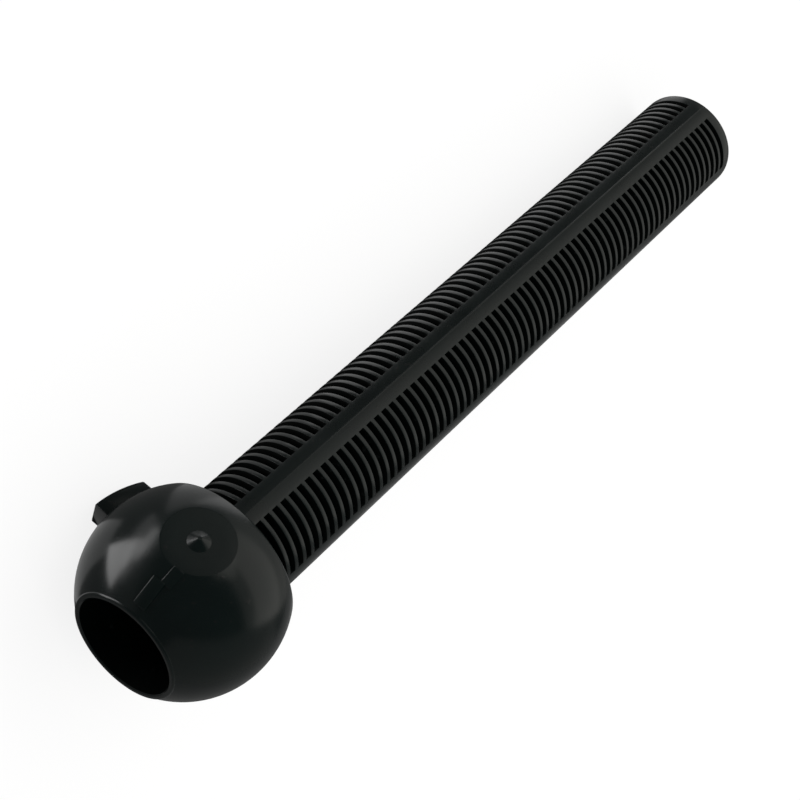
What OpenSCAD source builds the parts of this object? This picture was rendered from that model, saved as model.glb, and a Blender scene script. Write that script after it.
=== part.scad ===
// Slotted nozzle for a sand filter, moulded in one piece.
// A ball at one end seats in a hub, and water leaves the sand through the slots of the closed tube.
// The part is worked out with the tube along +X, the ball centre at the origin and the flat of the
// ball upwards. It is then rolled until its key touches the ground beside the ball, and tipped until
// the closed end touches the ground too, so that it lies as it comes to rest.
// All lengths are in millimetres and all angles in degrees.

/* [Overall] */
// Length from the mouth to the closed end
overall_l = 202.7; // [120:0.5:300]
// Inside diameter of the water way
bore_d = 21.5; // [18:0.1:22.5]

/* [Ball] */
// Diameter of the ball
ball_d = 40; // [38:0.5:50]
// Distance from the ball centre to the plane of the mouth
mouth_at = 16.6; // [15:0.1:17]
// Distance from the ball centre to the flat back of the ball
shoulder_at = 10.6; // [8:0.1:12]
// Rounding of the edge between the ball and its back
shoulder_round = 1; // [0.2:0.1:1.5]
// Outside diameter of the lip around the mouth
lip_d = 23.8; // [23:0.1:25]
// Rounding of the lip's outer edge
lip_round = 0.5; // [0.2:0.05:0.6]
// Chamfer of the lip's inner edge
mouth_chamfer = 0.25; // [0.1:0.05:0.3]

/* [Tube] */
// Outside diameter of the tube
tube_d = 24.5; // [23.5:0.1:28]
// Thickness of the closed end
cap_t = 3.7; // [1:0.1:5]
// Rounding of the closed end's edge
end_round = 1; // [0.3:0.1:1.8]
// Radius of the fillet between the tube and the back of the ball
neck_fillet = 1.2; // [0.4:0.1:2]

/* [Slots] */
// Distance from one slot to the next
slot_pitch = 2.4; // [1.8:0.1:4]
// Width of a slot at the outside of the tube
slot_outer_w = 1.4; // [0.8:0.05:1.6]
// Width of a slot at the water way, which holds the sand back
slot_inner_w = 0.5; // [0.3:0.05:0.7]
// Rows of slots around the tube
slot_rows = 4; // [3:1:6]
// Angle of each solid strip between two rows
strip_angle = 26; // [16:1:40]
// Solid band between the back of the ball and the first slot
neck_land = 2.7; // [2.1:0.1:8]
// Least solid band between the last slot and the closed end
end_land = 2.6; // [2:0.1:12]

/* [Flat and gate] */
// Diameter of the flat on top of the ball
flat_d = 13.8; // [8:0.1:15]
// Lean of the flat towards the mouth
flat_tilt = 3; // [0:0.5:4]
// Diameter of the gate cone at its foot
nub_d = 4.4; // [2:0.1:6]
// Diameter of the gate cone at its tip
nub_tip_d = 0.8; // [0.4:0.1:1.5]
// Height of the gate cone
nub_h = 1.2; // [0.5:0.1:2]

/* [Rib from the flat to the mouth] */
// Width of the high part of the rib
bar_w = 2.6; // [1.5:0.1:4]
// Height of the high part above the ball
bar_h = 0.6; // [0.3:0.1:0.9]
// Distance from the mouth plane to the start of the rib
bar_start = 1.5; // [0.7:0.1:2]
// Distance from the ball centre to the step in the rib, along the tube
bar_end = 10.6; // [9:0.1:12]
// Width of the low part of the rib
bridge_w = 2.3; // [1:0.1:3]
// Height of the low part above the ball
bridge_h = 0.3; // [0.2:0.05:0.6]
// Sideways shift of the low part
bridge_shift = 1.4; // [0:0.1:1.6]

/* [Key] */
// Width of the key on the side of the ball
key_w = 5.8; // [3:0.1:9]
// Height of the key above the ball
key_h = 3.2; // [1.5:0.1:5]

/* [Hidden] */
$fn = 96;

// Overlap of cutters past the faces they cut, and of joined shapes into each other
over = 0.3;
// Depth from the top of a rib to its foot inside the ball
rib_depth = 4;

ball_r = ball_d / 2;
tube_r = tube_d / 2;
bore_r = bore_d / 2;
lip_r = lip_d / 2;
key_r = ball_r + key_h;
tube_end = overall_l - mouth_at;

// Centre of the rounding at the back edge of the ball, as a radius and a place along the tube
round_at = shoulder_at - shoulder_round;
round_r = sqrt(pow(ball_r - shoulder_round, 2) - pow(round_at, 2));
// Point outside the ball, in line with the ball centre and the place where that rounding leaves the ball
round_ray = 2 * [round_r, round_at];

// Slots fill the tube between the two solid bands
row_angle = 360 / slot_rows - strip_angle;
slot_first = shoulder_at + neck_land + slot_outer_w / 2;
slot_last_max = tube_end - end_land - slot_outer_w / 2;
slot_count = floor((slot_last_max - slot_first) / slot_pitch) + 1;
// Width to which a slot widens where its cutter ends, past the outside of the tube
slot_cutter_w = slot_inner_w + (slot_outer_w - slot_inner_w) * (tube_r + over - bore_r) / (tube_r - bore_r);

// Distance of the flat from the ball centre, and of its edge nearest the mouth along the tube
flat_at = sqrt(pow(ball_r, 2) - pow(flat_d / 2, 2));
flat_edge = ball_r * sin(asin(flat_d / ball_d) + flat_tilt);

// Roll at which the ball and the lower edge of the key touch the same ground
roll_angle = asin(ball_r / norm([key_r, key_w / 2])) - atan(key_w / 2 / key_r);

// Dip at which the ball and the rounded edge of the closed end touch the same ground
end_reach = tube_end - end_round;
end_core_r = tube_r - end_round;
dip_angle = asin((ball_r - end_round) / norm([end_reach, end_core_r])) - atan(end_core_r / end_reach);

// Height of the ball above the tube's axis at a place along the tube
function ball_height(x) = sqrt(pow(ball_r, 2) - pow(x, 2));

// Rectangle from low to high, given as corners
module box_2d(low, high) {
    translate(low)
        square(high - low);
}

// Half section of the ball, cut flat at the mouth and at the back
module ball_section() {
    intersection() {
        circle(ball_r);
        polygon([[0, 0], [0, -mouth_at], [round_ray[0], -mouth_at], round_ray]);
    }
    intersection() {
        translate([round_r, round_at])
            circle(shoulder_round);
        polygon([[0, 0], round_ray, [0, round_ray[1]]]);
    }
    box_2d([0, 0], [round_r, shoulder_at]);
}

// Half section of the lip around the mouth
module lip_section() {
    box_2d([0, -mouth_at], [lip_r - lip_round, 0]);
    box_2d([0, lip_round - mouth_at], [lip_r, 0]);
    translate([lip_r - lip_round, lip_round - mouth_at])
        circle(lip_round);
}

// Half section of the tube with its rounded end and the fillet at its neck
module tube_section() {
    box_2d([0, 0], [tube_r, end_reach]);
    box_2d([0, 0], [end_core_r, tube_end]);
    translate([end_core_r, end_reach])
        circle(end_round);
    difference() {
        box_2d([0, shoulder_at - over], [tube_r + neck_fillet, shoulder_at + neck_fillet]);
        translate([tube_r + neck_fillet, shoulder_at + neck_fillet])
            circle(neck_fillet);
    }
}

// Turns a half section about the tube's axis, through an angle
module turn(angle = 360) {
    rotate([0, 90, 0])
        rotate_extrude(angle = angle)
            children();
}

// Box on the top of the ball, its top face square to the ball between two places along the tube
module rib(from, to, width, height) {
    foot = [from, 0, ball_height(from)];
    head = [to, 0, ball_height(to)];
    slope = atan((head[2] - foot[2]) / (to - from));
    translate(foot)
        rotate([0, -slope, 0])
            translate([0, -width / 2, height - rib_depth])
                cube([norm(head - foot), width, rib_depth]);
}

// Key on the side of the ball, with a round back about the ball centre
module key() {
    intersection() {
        cylinder(r = key_r, h = key_w, center = true);
        translate([0, 0, -key_w / 2])
            cube([shoulder_at, key_r, key_w]);
    }
}

// Flat on the top of the ball, as a cutter
module flat_cut() {
    rotate([0, -flat_tilt, 0])
        translate([-flat_d, -flat_d, flat_at])
            cube([2 * flat_d, 2 * flat_d, ball_r]);
}

// Gate cone on the flat
module nub() {
    rotate([0, -flat_tilt, 0]) {
        translate([0, 0, flat_at - over])
            cylinder(d = nub_d, h = over);
        translate([0, 0, flat_at])
            cylinder(d1 = nub_d, d2 = nub_tip_d, h = nub_h);
    }
}

// Half section of one row's slots, each narrow at the water way and wide outside
module slot_section() {
    inner = slot_inner_w / 2;
    outer = slot_cutter_w / 2;
    for (i = [0:slot_count - 1]) {
        translate([0, slot_first + i * slot_pitch])
            polygon([
                [bore_r - over, -inner],
                [bore_r, -inner],
                [tube_r + over, -outer],
                [tube_r + over, outer],
                [bore_r, inner],
                [bore_r - over, inner]
            ]);
    }
}

// All rows of slots, with a solid strip at the top of the tube
module slots() {
    for (row = [0:slot_rows - 1]) {
        rotate([360 / slot_rows * row + strip_angle / 2, 0, 0])
            turn(row_angle)
                slot_section();
    }
}

// Bore from the mouth to the closed end, as a cutter
module water_way() {
    mouth_d = bore_d + 2 * mouth_chamfer;
    translate([-mouth_at - over, 0, 0])
        rotate([0, 90, 0])
            cylinder(d = bore_d, h = overall_l - cap_t + over);
    translate([-mouth_at, 0, 0])
        rotate([0, 90, 0])
            cylinder(d1 = mouth_d, d2 = bore_d, h = mouth_chamfer);
}

// The whole moulding, with the tube along +X
module moulding() {
    difference() {
        union() {
            difference() {
                turn() {
                    ball_section();
                    lip_section();
                    tube_section();
                }
                flat_cut();
            }
            nub();
            rib(bar_start - mouth_at, -bar_end, bar_w, bar_h);
            translate([0, -bridge_shift, 0])
                rib(-bar_end - over, over - flat_edge, bridge_w, bridge_h);
            key();
        }
        water_way();
        slots();
    }
}

module nozzle() {
    color("#1e211f")
        rotate([-roll_angle, dip_angle, 0])
            moulding();
}

nozzle();
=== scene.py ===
import math

import bmesh
import bpy
from mathutils import Matrix, Vector


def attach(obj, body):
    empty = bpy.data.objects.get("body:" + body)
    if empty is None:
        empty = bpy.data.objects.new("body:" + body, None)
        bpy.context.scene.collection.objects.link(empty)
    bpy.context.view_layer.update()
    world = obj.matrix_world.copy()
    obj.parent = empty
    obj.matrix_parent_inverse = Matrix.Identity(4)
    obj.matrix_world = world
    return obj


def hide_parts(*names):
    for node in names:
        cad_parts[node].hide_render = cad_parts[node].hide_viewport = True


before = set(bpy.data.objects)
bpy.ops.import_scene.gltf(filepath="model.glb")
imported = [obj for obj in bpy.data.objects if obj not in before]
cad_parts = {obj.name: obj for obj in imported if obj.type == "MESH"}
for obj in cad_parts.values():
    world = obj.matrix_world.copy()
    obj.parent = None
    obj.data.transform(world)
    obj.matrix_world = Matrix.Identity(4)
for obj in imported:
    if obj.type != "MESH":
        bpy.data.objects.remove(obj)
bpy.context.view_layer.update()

MM = 0.001

# Driving dimensions of the moulding, the same as those of the solid
OVERALL_L = 202.7 * MM
BORE_R = 10.75 * MM
BALL_R = 20 * MM
MOUTH_AT = 16.6 * MM
SHOULDER_AT = 10.6 * MM
SHOULDER_ROUND = 1 * MM
LIP_R = 11.9 * MM
LIP_ROUND = 0.5 * MM
MOUTH_CHAMFER = 0.25 * MM
TUBE_R = 12.25 * MM
CAP_T = 3.7 * MM
END_ROUND = 1 * MM
NECK_FILLET = 1.2 * MM
SLOT_PITCH = 2.4 * MM
SLOT_OUTER_W = 1.4 * MM
SLOT_INNER_W = 0.5 * MM
SLOT_ROWS = 4
STRIP_ANGLE = 26
NECK_LAND = 2.7 * MM
END_LAND = 2.6 * MM
FLAT_R = 6.9 * MM
FLAT_TILT = 3
NUB_R = 2.2 * MM
NUB_TIP_R = 0.4 * MM
NUB_H = 1.2 * MM
BAR_W = 2.6 * MM
BAR_H = 0.6 * MM
BAR_START = 1.5 * MM
BAR_END = 10.6 * MM
BRIDGE_W = 2.3 * MM
BRIDGE_H = 0.3 * MM
BRIDGE_SHIFT = 1.4 * MM
BRIDGE_LAP = 0.3 * MM
KEY_W = 5.8 * MM
KEY_H = 3.2 * MM

# Fine shapes that only the looks have
SLOT_EDGE_ROUND = 0.13 * MM
FLAT_EDGE_ROUND = 0.5 * MM
KEY_EDGE_ROUND = 0.35 * MM
RIB_EDGE_ROUND = 0.16 * MM
RIB_DEPTH = 0.9 * MM
KEY_DEPTH = 2.5 * MM
KEY_BACK_GAP = 0.02 * MM
PARTING_RISE = 0.09 * MM
FLASH_W = 0.4 * MM
FLASH_H = 0.03 * MM

# Steps of the mesh
STRIP_STEPS = 8
ROW_STEPS = 20
QUARTER_STEPS = STRIP_STEPS + ROW_STEPS
COLUMNS = SLOT_ROWS * QUARTER_STEPS
PATCH_SIDE_STEPS = 5
PATCH_STEPS = STRIP_STEPS + 2 * PATCH_SIDE_STEPS
ARC_STEPS = 5
BALL_FRONT_STEPS = 9
LEAD_STEPS = 5
KEY_BACK_STEPS = 10
BLOCK_EDGE_STEPS = 3
SLOT_EDGE_STEPS = 2

# Angles between faces, in degrees: flat enough to join, sharp enough to round, sharp enough to stay crisp
JOIN_ANGLE = 1
ROUND_ANGLE = 20
CRISP_ANGLE = 32

# Places worked out from the driving dimensions
ROW_ANGLE = 360 / SLOT_ROWS - STRIP_ANGLE
PATCH_ANGLE = STRIP_ANGLE / 2 + ROW_ANGLE * PATCH_SIDE_STEPS / ROW_STEPS
TUBE_END = OVERALL_L - MOUTH_AT
BORE_END = TUBE_END - CAP_T
KEY_R = BALL_R + KEY_H
FLAT_AT = math.sqrt(BALL_R ** 2 - FLAT_R ** 2)
FLAT_EDGE = BALL_R * math.sin(math.asin(FLAT_R / BALL_R) + math.radians(FLAT_TILT))
ROUND_AT = SHOULDER_AT - SHOULDER_ROUND
ROUND_R = math.sqrt((BALL_R - SHOULDER_ROUND) ** 2 - ROUND_AT ** 2)
SLOT_FIRST = SHOULDER_AT + NECK_LAND + SLOT_OUTER_W / 2
SLOT_LAST_MAX = TUBE_END - END_LAND - SLOT_OUTER_W / 2
SLOT_COUNT = math.floor((SLOT_LAST_MAX - SLOT_FIRST) / SLOT_PITCH) + 1
FLOOR_AT = -BALL_R

# The camera, in the shared frame
CAMERA_AT = Vector((-144.885, 173.814, 239.642)) * MM
CAMERA_AIM = Vector((66.345, -0.278, -2.582)) * MM
CAMERA_ROLL = 100.88
CAMERA_LENS = 79.84
CAMERA_SENSOR = 36
CAMERA_NEAR = 10 * MM

# Material slots of the moulding: the ball, the tube, and the slot walls with the bore, which are painted
# darker as shade in the recesses
POLISHED, SATIN, DULL_SHADED = 0, 1, 2

# Darkest and palest colour of the plastic, outside and in the slots and the bore, and of its scuffs; the
# slots and the bore are painted darker, as shade in the recesses
OUTER_TONES = ((0.0003, 0.0026, 0.0024, 1), (0.0008, 0.0040, 0.0037, 1))
INNER_SHADE_TONES = ((0.0002, 0.0007, 0.0006, 1), (0.0004, 0.0011, 0.0010, 1))
SCUFF_TONE = (0.004, 0.0052, 0.005, 1)

# Finishes: least and most roughness, depth of the fine skin, and strength of the shine
POLISHED_FINISH = (0.18, 0.27, 0.002 * MM, 0.5)
SATIN_FINISH = (0.24, 0.34, 0.004 * MM, 0.5)
DULL_FINISH = (0.6, 0.75, 0.004 * MM, 0.1)
PLASTIC_IOR = 1.5

# Grains to the metre of the plastic's noises, the part of the noise that is scuffed, and depths
CLOUD_GRAINS = 90
WAVE_GRAINS = 160
SCUFF_GRAINS = 620
SKIN_GRAINS = 2600
SCUFF_START = 0.66
SCUFF_FULL = 0.72
WAVE_DEPTH = 0.02 * MM
SCUFF_DEPTH = 0.012 * MM

# The floor and the room around it, which are white to the camera
FLOOR_SIZE = 6
FLOOR_TONE = (0.17, 0.17, 0.17, 1)
FLOOR_ROUGHNESS = 0.9
FLOOR_GLOW = 0.84
WHITE = (1, 1, 1)
ROOM_STRENGTH = 0.08

# Cards on the floor, facing up: middle and sides in millimetres, and brightness
CARD_LIFT = 1 * MM
FLOOR_CARDS = (
    ("near_card", (-28, 62), (30, 66), 3.0),
    ("far_card", (-21, 132), (62, 84), 2.4),
    ("card_glow", (-24, 112), (74, 124), 0.5),
    ("key_card", (-9, 16), (16, 26), 0.35),
    ("far_side_card", (125, -42), (150, 50), 0.15),
    ("neck_card", (42, 42), (36, 60), 0.3),
    ("tube_card", (140, 40), (160, 52), 0.8),
)

# Panels that face the ball: azimuth and elevation in degrees, distance and sides in metres, and brightness
PANEL_TINT = (1, 0.98, 0.92)
PANELS = (
    ("back_panel", (-9, 38), 1.0, (1.45, 0.75), 0.36),
    ("back_glow", (-5, 36), 1.1, (1.85, 1.7), 0.24),
    ("right_panel", (51, 42), 1.2, (0.52, 1.0), 0.42),
    ("low_panel", (61, 13), 1.2, (0.26, 0.3), 0.18),
    ("left_panel", (-105, 28), 1.2, (3.0, 1.3), 0.1),
)

# Even light from above, which the plastic does not mirror: height and side in metres, and brightness
FILL_AT = 1.5
FILL_SIZE = 4.0
FILL_RADIANCE = 1.1


def lie():
    """Turns the upright moulding until its key, its ball and its closed end touch the ground."""
    roll = math.asin(BALL_R / math.hypot(KEY_R, KEY_W / 2)) - math.atan(KEY_W / 2 / KEY_R)
    end_reach = TUBE_END - END_ROUND
    end_core_r = TUBE_R - END_ROUND
    dip = math.asin((BALL_R - END_ROUND) / math.hypot(end_reach, end_core_r))
    dip -= math.atan(end_core_r / end_reach)
    return Matrix.Rotation(dip, 4, "Y") @ Matrix.Rotation(-roll, 4, "X")


def column_angle(index):
    """Angle of a mesh column about the tube, from the flat towards the key, in degrees."""
    quarter, step = divmod(index, QUARTER_STEPS)
    start = quarter * 360 / SLOT_ROWS - STRIP_ANGLE / 2
    if step <= STRIP_STEPS:
        return start + STRIP_ANGLE * step / STRIP_STEPS
    return start + STRIP_ANGLE + ROW_ANGLE * (step - STRIP_STEPS) / ROW_STEPS


def in_strip(index):
    """True for a column of faces that lies in a solid strip between two rows of slots."""
    return index % QUARTER_STEPS < STRIP_STEPS


def in_patch(index):
    """True for a column of faces that the flat of the ball takes up."""
    return (index + PATCH_SIDE_STEPS) % COLUMNS < PATCH_STEPS


def parting_rise(index):
    """Height of the low roof along the two strips where the halves of the mould met."""
    angle = (column_angle(index) + 90) % 180 - 90
    return PARTING_RISE * max(0, 1 - abs(angle) / (STRIP_ANGLE / 2))


def around(x, r, angle):
    """Point at a place along the tube, a radius and an angle in degrees."""
    turn = math.radians(angle)
    return Vector((x, r * math.sin(turn), r * math.cos(turn)))


def arc(x, r, radius, start, end):
    """Points (place, radius) on an arc; angles in degrees, from outwards towards the closed end."""
    points = []
    for step in range(ARC_STEPS + 1):
        angle = math.radians(start + (end - start) * step / ARC_STEPS)
        points.append((x + radius * math.sin(angle), r + radius * math.cos(angle)))
    return points


def ring(bm, x, r, roofed=False):
    """Closed ring of vertices about the tube's axis."""
    verts = []
    for index in range(COLUMNS):
        rise = parting_rise(index) if roofed else 0
        verts.append(bm.verts.new(around(x, r + rise, column_angle(index))))
    return verts


def band(bm, first, second, material, wanted=None):
    """Faces between two rings, in the columns that are wanted."""
    for index in range(COLUMNS):
        if wanted is None or wanted(index):
            after = (index + 1) % COLUMNS
            face = bm.faces.new((first[index], second[index], second[after], first[after]))
            face.material_index = material


def bands(bm, rings, material):
    """Faces between each ring and the next."""
    for first, second in zip(rings, rings[1:]):
        band(bm, first, second, material)


def disc(bm, rim, x, material):
    """Fan of faces from a ring to the axis."""
    middle = bm.verts.new((x, 0, 0))
    for index in range(len(rim)):
        face = bm.faces.new((rim[index], middle, rim[(index + 1) % len(rim)]))
        face.material_index = material


def polar(radius, angle, turn):
    """Point on a ball about the origin, by its angle from the flat's axis and its turn about that axis."""
    flat_part = radius * math.sin(angle)
    return Vector((flat_part * math.cos(turn), flat_part * math.sin(turn), radius * math.cos(angle)))


def flat_profile():
    """Points (radius, height) over the flat from its rounded edge to the foot and tip of the gate cone."""
    centre_at = FLAT_AT - FLAT_EDGE_ROUND
    centre_r = math.sqrt((BALL_R - FLAT_EDGE_ROUND) ** 2 - centre_at ** 2)
    edge_angle = math.atan2(centre_r, centre_at)
    points = []
    for step in range(ARC_STEPS):
        angle = edge_angle * (1 - step / (ARC_STEPS - 1))
        points.append((
            centre_r + FLAT_EDGE_ROUND * math.sin(angle),
            centre_at + FLAT_EDGE_ROUND * math.cos(angle),
        ))
    points.append(((centre_r + NUB_R) / 2, FLAT_AT))
    points.append((NUB_R, FLAT_AT))
    points.append((NUB_TIP_R, FLAT_AT + NUB_H))
    return points, edge_angle


def flat_patch(bm, loop):
    """Fills the opening left on the ball with its flat and the gate cone."""
    profile, edge_angle = flat_profile()
    lean = Matrix.Rotation(-math.radians(FLAT_TILT), 3, "Y")
    spokes = []
    for vert in loop:
        level = lean.inverted() @ vert.co
        spokes.append((math.atan2(level.y, level.x), level.angle(Vector((0, 0, 1)))))
    rings = [loop]
    for step in range(1, LEAD_STEPS):
        share = step / LEAD_STEPS
        rings.append([
            bm.verts.new(lean @ polar(BALL_R, angle + (edge_angle - angle) * share, turn))
            for turn, angle in spokes
        ])
    for radius, height in profile:
        rings.append([
            bm.verts.new(lean @ Vector((radius * math.cos(turn), radius * math.sin(turn), height)))
            for turn, angle in spokes
        ])
    for first, second in zip(rings, rings[1:]):
        for index in range(len(loop)):
            after = (index + 1) % len(loop)
            bm.faces.new((first[index], second[index], second[after], first[after]))
    tip = bm.verts.new(lean @ Vector((0, 0, FLAT_AT + NUB_H)))
    for index in range(len(loop)):
        bm.faces.new((rings[-1][index], tip, rings[-1][(index + 1) % len(loop)]))


def patch_loop(rings):
    """Vertices around the opening for the flat, in order, from the rings that it spans."""
    columns = [(index - PATCH_SIDE_STEPS) % COLUMNS for index in range(PATCH_STEPS + 1)]
    front = [rings[0][index] for index in columns]
    side = [row[columns[-1]] for row in rings[1:]]
    back = [rings[-1][index] for index in reversed(columns[:-1])]
    return front + side + back + [row[columns[0]] for row in reversed(rings[1:-1])]


def ball_ring(bm, angle):
    """Ring on the ball, by its angle from the ball's widest place towards the closed end, in degrees."""
    turn = math.radians(angle)
    return ring(bm, BALL_R * math.sin(turn), BALL_R * math.cos(turn))


def ball(bm, lip):
    """The ball, from the lip around the mouth to the foot of the tube. Returns its last ring."""
    front_angle = -math.degrees(math.acos(LIP_R / BALL_R))
    back_angle = math.degrees(math.atan2(ROUND_AT, ROUND_R))
    front = [
        ball_ring(bm, front_angle + (-PATCH_ANGLE - front_angle) * step / BALL_FRONT_STEPS)
        for step in range(BALL_FRONT_STEPS)
    ]
    middle = [
        ball_ring(bm, PATCH_ANGLE * (2 * step / PATCH_STEPS - 1))
        for step in range(PATCH_STEPS + 1)
    ]
    back = [ring(bm, x, r) for x, r in arc(ROUND_AT, ROUND_R, SHOULDER_ROUND, back_angle, 90)]
    bands(bm, [lip] + front + [middle[0]], POLISHED)
    for first, second in zip(middle, middle[1:]):
        band(bm, first, second, POLISHED, lambda index: not in_patch(index))
    bands(bm, [middle[-1]] + back, POLISHED)
    flat_patch(bm, patch_loop(middle))
    fillet_at = SHOULDER_AT + NECK_FILLET
    fillet_r = TUBE_R + NECK_FILLET
    neck = [ring(bm, x, r) for x, r in arc(fillet_at, fillet_r, NECK_FILLET, 270, 180)[:-1]]
    neck.append(ring(bm, fillet_at, TUBE_R, roofed=True))
    bands(bm, [back[-1]] + neck, SATIN)
    return neck[-1]


def mouth(bm, bore):
    """The lip around the mouth, from the bore outwards. Returns its last ring."""
    profile = [(-MOUTH_AT, BORE_R + MOUTH_CHAMFER)]
    profile += arc(LIP_ROUND - MOUTH_AT, LIP_R - LIP_ROUND, LIP_ROUND, -90, 0)
    rings = [ring(bm, x, r) for x, r in profile]
    bands(bm, [bore] + rings, POLISHED)
    return rings[-1]


def slot_edges(bm, width, r, roofed):
    """Pairs of rings at the two edges of each slot."""
    pairs = []
    for index in range(SLOT_COUNT):
        middle = SLOT_FIRST + index * SLOT_PITCH
        pairs.append([ring(bm, middle + side * width / 2, r, roofed) for side in (-1, 1)])
    return pairs


def wall(bm, *corners):
    """One face of a slot's wall, in the material painted darker as shade."""
    face = bm.faces.new(corners)
    face.material_index = DULL_SHADED


def slot_walls(bm, outer, inner, weight):
    """The walls of one slot in each row. The outer edges are marked for rounding."""
    for index in range(COLUMNS):
        if in_strip(index):
            continue
        after = (index + 1) % COLUMNS
        wall(bm, outer[0][after], outer[0][index], inner[0][index], inner[0][after])
        wall(bm, outer[1][index], outer[1][after], inner[1][after], inner[1][index])
        for ring_verts in outer:
            bm.edges.get((ring_verts[index], ring_verts[after]))[weight] = 1
    for row in range(SLOT_ROWS):
        low = row * QUARTER_STEPS + STRIP_STEPS
        high = (row + 1) * QUARTER_STEPS % COLUMNS
        wall(bm, outer[0][low], outer[1][low], inner[1][low], inner[0][low])
        wall(bm, outer[1][high], outer[0][high], inner[0][high], inner[1][high])
        for index in (low, high):
            bm.edges.get((outer[0][index], outer[1][index]))[weight] = 1


def tube(bm, neck, bore_start, weight):
    """The slotted tube with its closed end and its bore, from the foot of the tube and the mouth."""
    outer = slot_edges(bm, SLOT_OUTER_W, TUBE_R, roofed=True)
    inner = slot_edges(bm, SLOT_INNER_W, BORE_R, roofed=False)
    core_r = TUBE_R - END_ROUND
    end = [ring(bm, TUBE_END - END_ROUND, TUBE_R, roofed=True)]
    end += [ring(bm, x, r) for x, r in arc(TUBE_END - END_ROUND, core_r, END_ROUND, 0, 90)[1:]]
    end.append(ring(bm, TUBE_END, core_r / 2))
    floor = [ring(bm, BORE_END, BORE_R), ring(bm, BORE_END, BORE_R / 2)]
    before = neck
    bore_before = bore_start
    for outer_pair, inner_pair in zip(outer, inner):
        band(bm, before, outer_pair[0], SATIN)
        band(bm, *outer_pair, SATIN, in_strip)
        # The bore and the slot walls take the material painted darker as shade
        band(bm, inner_pair[0], bore_before, DULL_SHADED)
        band(bm, inner_pair[1], inner_pair[0], DULL_SHADED, in_strip)
        slot_walls(bm, outer_pair, inner_pair, weight)
        before = outer_pair[1]
        bore_before = inner_pair[1]
    bands(bm, [before] + end, SATIN)
    disc(bm, end[-1], TUBE_END, SATIN)
    bands(bm, floor[::-1] + [bore_before], DULL_SHADED)
    disc(bm, floor[1][::-1], BORE_END, DULL_SHADED)


def add_block(bm, corners, height, edge_round, material=POLISHED):
    """Adds a closed prism with rounded edges, from the corners of one side and the way to the other."""
    block = bmesh.new()
    low = [block.verts.new(corner) for corner in corners]
    high = [block.verts.new(corner + height) for corner in corners]
    block.faces.new(low[::-1])
    block.faces.new(high)
    for index in range(len(corners)):
        after = (index + 1) % len(corners)
        block.faces.new((low[index], low[after], high[after], high[index]))
    bmesh.ops.recalc_face_normals(block, faces=block.faces[:])
    bmesh.ops.dissolve_limit(
        block, angle_limit=math.radians(JOIN_ANGLE), verts=block.verts[:], edges=block.edges[:])
    sharp = [edge for edge in block.edges if edge.calc_face_angle() > math.radians(ROUND_ANGLE)]
    bmesh.ops.bevel(
        block, geom=sharp, offset=edge_round, offset_type="OFFSET", segments=BLOCK_EDGE_STEPS,
        profile=0.5, affect="EDGES", clamp_overlap=True)
    for face in block.faces:
        face.material_index = material
        face.smooth = True
    mesh = bpy.data.meshes.new("block")
    block.to_mesh(mesh)
    block.free()
    bm.from_mesh(mesh)
    bpy.data.meshes.remove(mesh)


def ball_height(x):
    """Height of the ball above the tube's axis at a place along the tube."""
    return math.sqrt(BALL_R ** 2 - x ** 2)


def rib(bm, start, end, width, height, shift):
    """Low rib on the top of the ball, its top face straight between two places along the tube."""
    foot = Vector((start, shift - width / 2, ball_height(start)))
    head = Vector((end, shift - width / 2, ball_height(end)))
    along = (head - foot).normalized()
    out = Vector((-along.z, 0, along.x))
    corners = [foot - out * RIB_DEPTH, head - out * RIB_DEPTH, head + out * height, foot + out * height]
    add_block(bm, corners, Vector((0, width, 0)), RIB_EDGE_ROUND)


def key(bm):
    """Square key on the side of the ball, with a round back about the ball's centre."""
    back = SHOULDER_AT - KEY_BACK_GAP
    low = -KEY_W / 2
    end_turn = math.asin(back / KEY_R)
    corners = [Vector((back, BALL_R - 2 * KEY_DEPTH, low)), Vector((0, BALL_R - KEY_DEPTH, low))]
    for step in range(KEY_BACK_STEPS + 1):
        turn = end_turn * step / KEY_BACK_STEPS
        corners.append(Vector((KEY_R * math.sin(turn), KEY_R * math.cos(turn), low)))
    add_block(bm, corners, Vector((0, 0, KEY_W)), KEY_EDGE_ROUND)


def flash(bm, side):
    """Fine ridge where the halves of the mould met, along the strip on one side of the tube."""
    start = SHOULDER_AT + NECK_FILLET
    ridge = side * (TUBE_R + PARTING_RISE)
    corners = [
        Vector((start, -FLASH_W / 2, ridge - side * FLASH_H)),
        Vector((start, FLASH_W / 2, ridge - side * FLASH_H)),
        Vector((start, FLASH_W / 8, ridge + side * FLASH_H)),
        Vector((start, -FLASH_W / 8, ridge + side * FLASH_H)),
    ]
    add_block(bm, corners, Vector((TUBE_END - END_ROUND - start, 0, 0)), FLASH_H / 4, SATIN)


def on_parting_line(vert):
    """True for a vertex on the ridge of one of the two roofed strips."""
    slack = PARTING_RISE / 10
    in_middle = abs(vert.co.y) < slack
    return in_middle and abs(abs(vert.co.z) - TUBE_R - PARTING_RISE) < slack


def mark_sharp(bm, weight):
    """Keeps the corners crisp that are not rounded, and the fine line where the mould parted."""
    for edge in bm.edges:
        if edge[weight] == 0 and len(edge.link_faces) == 2:
            edge.smooth = edge.calc_face_angle() < math.radians(CRISP_ANGLE)
        if all(on_parting_line(vert) for vert in edge.verts):
            edge.smooth = False
    for face in bm.faces:
        face.smooth = True


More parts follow.
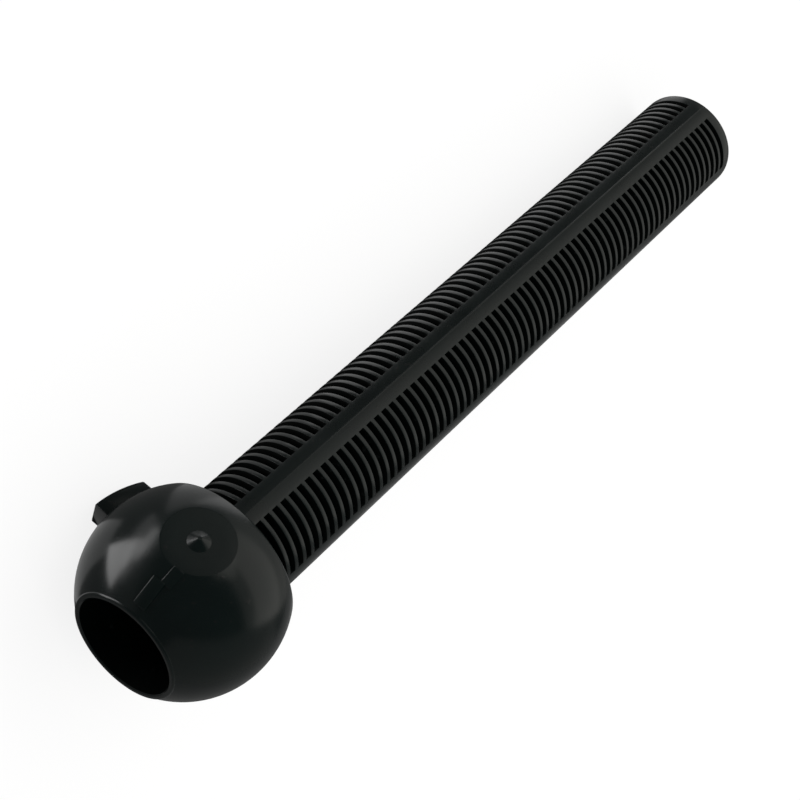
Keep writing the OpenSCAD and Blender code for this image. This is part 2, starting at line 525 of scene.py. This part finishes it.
def moulding(materials):
    """The whole nozzle as one mesh object, lying as it comes to rest."""
    bm = bmesh.new()
    weight = bm.edges.layers.float.new("bevel_weight_edge")
    bore_start = ring(bm, MOUTH_CHAMFER - MOUTH_AT, BORE_R)
    lip = mouth(bm, bore_start)
    neck = ball(bm, lip)
    tube(bm, neck, bore_start, weight)
    bm.normal_update()
    mark_sharp(bm, weight)
    rib(bm, BAR_START - MOUTH_AT, -BAR_END, BAR_W, BAR_H, 0)
    rib(bm, -BAR_END - BRIDGE_LAP, BRIDGE_LAP - FLAT_EDGE, BRIDGE_W, BRIDGE_H, -BRIDGE_SHIFT)
    key(bm)
    for side in (1, -1):
        flash(bm, side)
    mesh = bpy.data.meshes.new("nozzle_moulding")
    bm.to_mesh(mesh)
    bm.free()
    mesh.transform(lie())
    for material in materials:
        mesh.materials.append(material)
    piece = bpy.data.objects.new("nozzle_moulding", mesh)
    bpy.context.collection.objects.link(piece)
    rounding = piece.modifiers.new("slot_edges", "BEVEL")
    rounding.limit_method = "WEIGHT"
    rounding.width = SLOT_EDGE_ROUND
    rounding.segments = SLOT_EDGE_STEPS
    rounding.use_clamp_overlap = False
    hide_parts("nozzle")
    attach(piece, "root")


def new_material(name):
    """Empty node material. Returns it with its nodes, its links and its shader."""
    material = bpy.data.materials.new(name)
    material.use_nodes = True
    nodes = material.node_tree.nodes
    return material, nodes, material.node_tree.links, nodes["Principled BSDF"]


def noise(nodes, links, place, scale, detail):
    """Noise over the surface, with about this many grains to the metre."""
    node = nodes.new("ShaderNodeTexNoise")
    node.inputs["Scale"].default_value = scale
    node.inputs["Detail"].default_value = detail
    links.new(place, node.inputs["Vector"])
    return node.outputs["Fac"]


def spread(nodes, links, value, low, high, start=0.3, end=0.7):
    """Maps the middle of a noise, or another part of it, to a range."""
    node = nodes.new("ShaderNodeMapRange")
    node.inputs["From Min"].default_value = start
    node.inputs["From Max"].default_value = end
    node.inputs["To Min"].default_value = low
    node.inputs["To Max"].default_value = high
    links.new(value, node.inputs["Value"])
    return node.outputs["Result"]


def bump(nodes, links, height, depth, below=None):
    """Bump of a depth in metres, over another bump where there is one."""
    node = nodes.new("ShaderNodeBump")
    node.inputs["Distance"].default_value = depth
    links.new(height, node.inputs["Height"])
    if below is not None:
        links.new(below, node.inputs["Normal"])
    return node.outputs["Normal"]


def mix(nodes, links, share, first, second):
    """Colour between two others. The first is a colour or the output of another mix."""
    node = nodes.new("ShaderNodeMix")
    node.data_type = "RGBA"
    links.new(share, node.inputs["Factor"])
    if isinstance(first, tuple):
        node.inputs["A"].default_value = first
    else:
        links.new(first, node.inputs["A"])
    node.inputs["B"].default_value = second
    return node.outputs["Result"]


def black_plastic(name, tones, finish):
    """Black moulded plastic: uneven gloss, faint waves from the mould, a fine skin and light scuffs."""
    smooth, rough, skin_depth, shine = finish
    material, nodes, links, shader = new_material(name)
    place = nodes.new("ShaderNodeTexCoord").outputs["Object"]
    cloud = noise(nodes, links, place, CLOUD_GRAINS, detail=3)
    skin = noise(nodes, links, place, SKIN_GRAINS, detail=2)
    wave = noise(nodes, links, place, WAVE_GRAINS, detail=1)
    rubs = noise(nodes, links, place, SCUFF_GRAINS, detail=4)
    scuff = spread(nodes, links, rubs, 0, 1, SCUFF_START, SCUFF_FULL)
    tone = mix(nodes, links, spread(nodes, links, cloud, 0, 1), *tones)
    links.new(mix(nodes, links, scuff, tone, SCUFF_TONE), shader.inputs["Base Color"])
    links.new(spread(nodes, links, cloud, smooth, rough), shader.inputs["Roughness"])
    waves = bump(nodes, links, wave, WAVE_DEPTH)
    marks = bump(nodes, links, scuff, SCUFF_DEPTH, waves)
    links.new(bump(nodes, links, skin, skin_depth, marks), shader.inputs["Normal"])
    shader.inputs["IOR"].default_value = PLASTIC_IOR
    shader.inputs["Specular IOR Level"].default_value = shine
    return material


def floor_material():
    """Pale floor that is white to the camera and keeps the shadow of the part."""
    material, nodes, links, shader = new_material("pale_floor")
    shader.inputs["Base Color"].default_value = FLOOR_TONE
    shader.inputs["Roughness"].default_value = FLOOR_ROUGHNESS
    shader.inputs["Specular IOR Level"].default_value = 0
    shader.inputs["Emission Color"].default_value = (*WHITE, 1)
    glow = nodes.new("ShaderNodeMath")
    glow.operation = "MULTIPLY"
    glow.inputs[1].default_value = FLOOR_GLOW
    links.new(nodes.new("ShaderNodeLightPath").outputs["Is Camera Ray"], glow.inputs[0])
    links.new(glow.outputs["Value"], shader.inputs["Emission Strength"])
    return material


def stage():
    """The floor and the pale surroundings."""
    mesh = bpy.data.meshes.new("floor")
    half = FLOOR_SIZE / 2
    corners = [(-half, -half), (half, -half), (half, half), (-half, half)]
    mesh.from_pydata([(x, y, FLOOR_AT) for x, y in corners], [], [(0, 1, 2, 3)])
    mesh.materials.append(floor_material())
    floor = bpy.data.objects.new("floor", mesh)
    bpy.context.collection.objects.link(floor)
    world = bpy.data.worlds.new("studio")
    bpy.context.scene.world = world
    world.use_nodes = True
    nodes, links = world.node_tree.nodes, world.node_tree.links
    sky = nodes["Background"]
    sky.inputs["Color"].default_value = (*WHITE, 1)
    strength = nodes.new("ShaderNodeMapRange")
    strength.inputs["To Min"].default_value = ROOM_STRENGTH
    strength.inputs["To Max"].default_value = 1
    links.new(nodes.new("ShaderNodeLightPath").outputs["Is Camera Ray"], strength.inputs["Value"])
    links.new(strength.outputs["Result"], sky.inputs["Strength"])


def direction(azimuth, elevation):
    """Unit vector, from angles in degrees about +Z from +X and above the horizon."""
    turn, lift = math.radians(azimuth), math.radians(elevation)
    return Vector((math.cos(turn) * math.cos(lift), math.sin(turn) * math.cos(lift), math.sin(lift)))


def softbox(name, at, aim, size, radiance, tint=WHITE, glossy=True):
    """Rectangular lamp of a given brightness, which the camera does not see."""
    data = bpy.data.lights.new(name, "AREA")
    data.shape = "RECTANGLE"
    data.size, data.size_y = size
    data.color = tint
    data.energy = radiance * math.pi * size[0] * size[1]
    lamp = bpy.data.objects.new(name, data)
    lamp.location = at
    lamp.rotation_euler = (Vector(aim) - Vector(at)).to_track_quat("-Z", "Y").to_euler()
    lamp.visible_camera = False
    lamp.visible_glossy = glossy
    bpy.context.collection.objects.link(lamp)


def floor_card(name, middle, sides, radiance):
    """Bright card that lies on the floor and faces up, by its middle and its sides in millimetres."""
    x, y = middle
    size_x, size_y = sides
    at = Vector((x * MM, y * MM, FLOOR_AT + CARD_LIFT))
    softbox(name, at, at + Vector((0, 0, 1)), (size_x * MM, size_y * MM), radiance)


def panel(name, angles, distance, size, radiance):
    """Soft panel that faces the ball from a direction."""
    softbox(name, direction(*angles) * distance, (0, 0, 0), size, radiance, PANEL_TINT)


def lamps():
    """Plain soft light: cards on the floor about the part, wide panels around it and an even fill."""
    for card in FLOOR_CARDS:
        floor_card(*card)
    for side in PANELS:
        panel(*side)
    softbox("fill", (0, 0, FILL_AT), (0, 0, 0), (FILL_SIZE, FILL_SIZE), FILL_RADIANCE, glossy=False)


def camera():
    """The camera at the angle of the photograph."""
    data = bpy.data.cameras.new("camera")
    data.lens = CAMERA_LENS
    data.sensor_width = CAMERA_SENSOR
    data.clip_start = CAMERA_NEAR
    eye = bpy.data.objects.new("camera", data)
    eye.location = CAMERA_AT
    look = (CAMERA_AIM - CAMERA_AT).to_track_quat("-Z", "Y").to_matrix()
    eye.rotation_euler = (look @ Matrix.Rotation(math.radians(CAMERA_ROLL), 3, "Z")).to_euler()
    bpy.context.collection.objects.link(eye)
    bpy.context.scene.camera = eye


camera()
stage()
lamps()
moulding([
    black_plastic("polished_black_plastic", OUTER_TONES, POLISHED_FINISH),
    black_plastic("satin_black_plastic", OUTER_TONES, SATIN_FINISH),
    # Darker tones in the slots and the bore: painted shade in the recesses
    black_plastic("dull_black_plastic_painted_shade", INNER_SHADE_TONES, DULL_FINISH),
])
bpy.context.scene.view_settings.view_transform = "Standard"
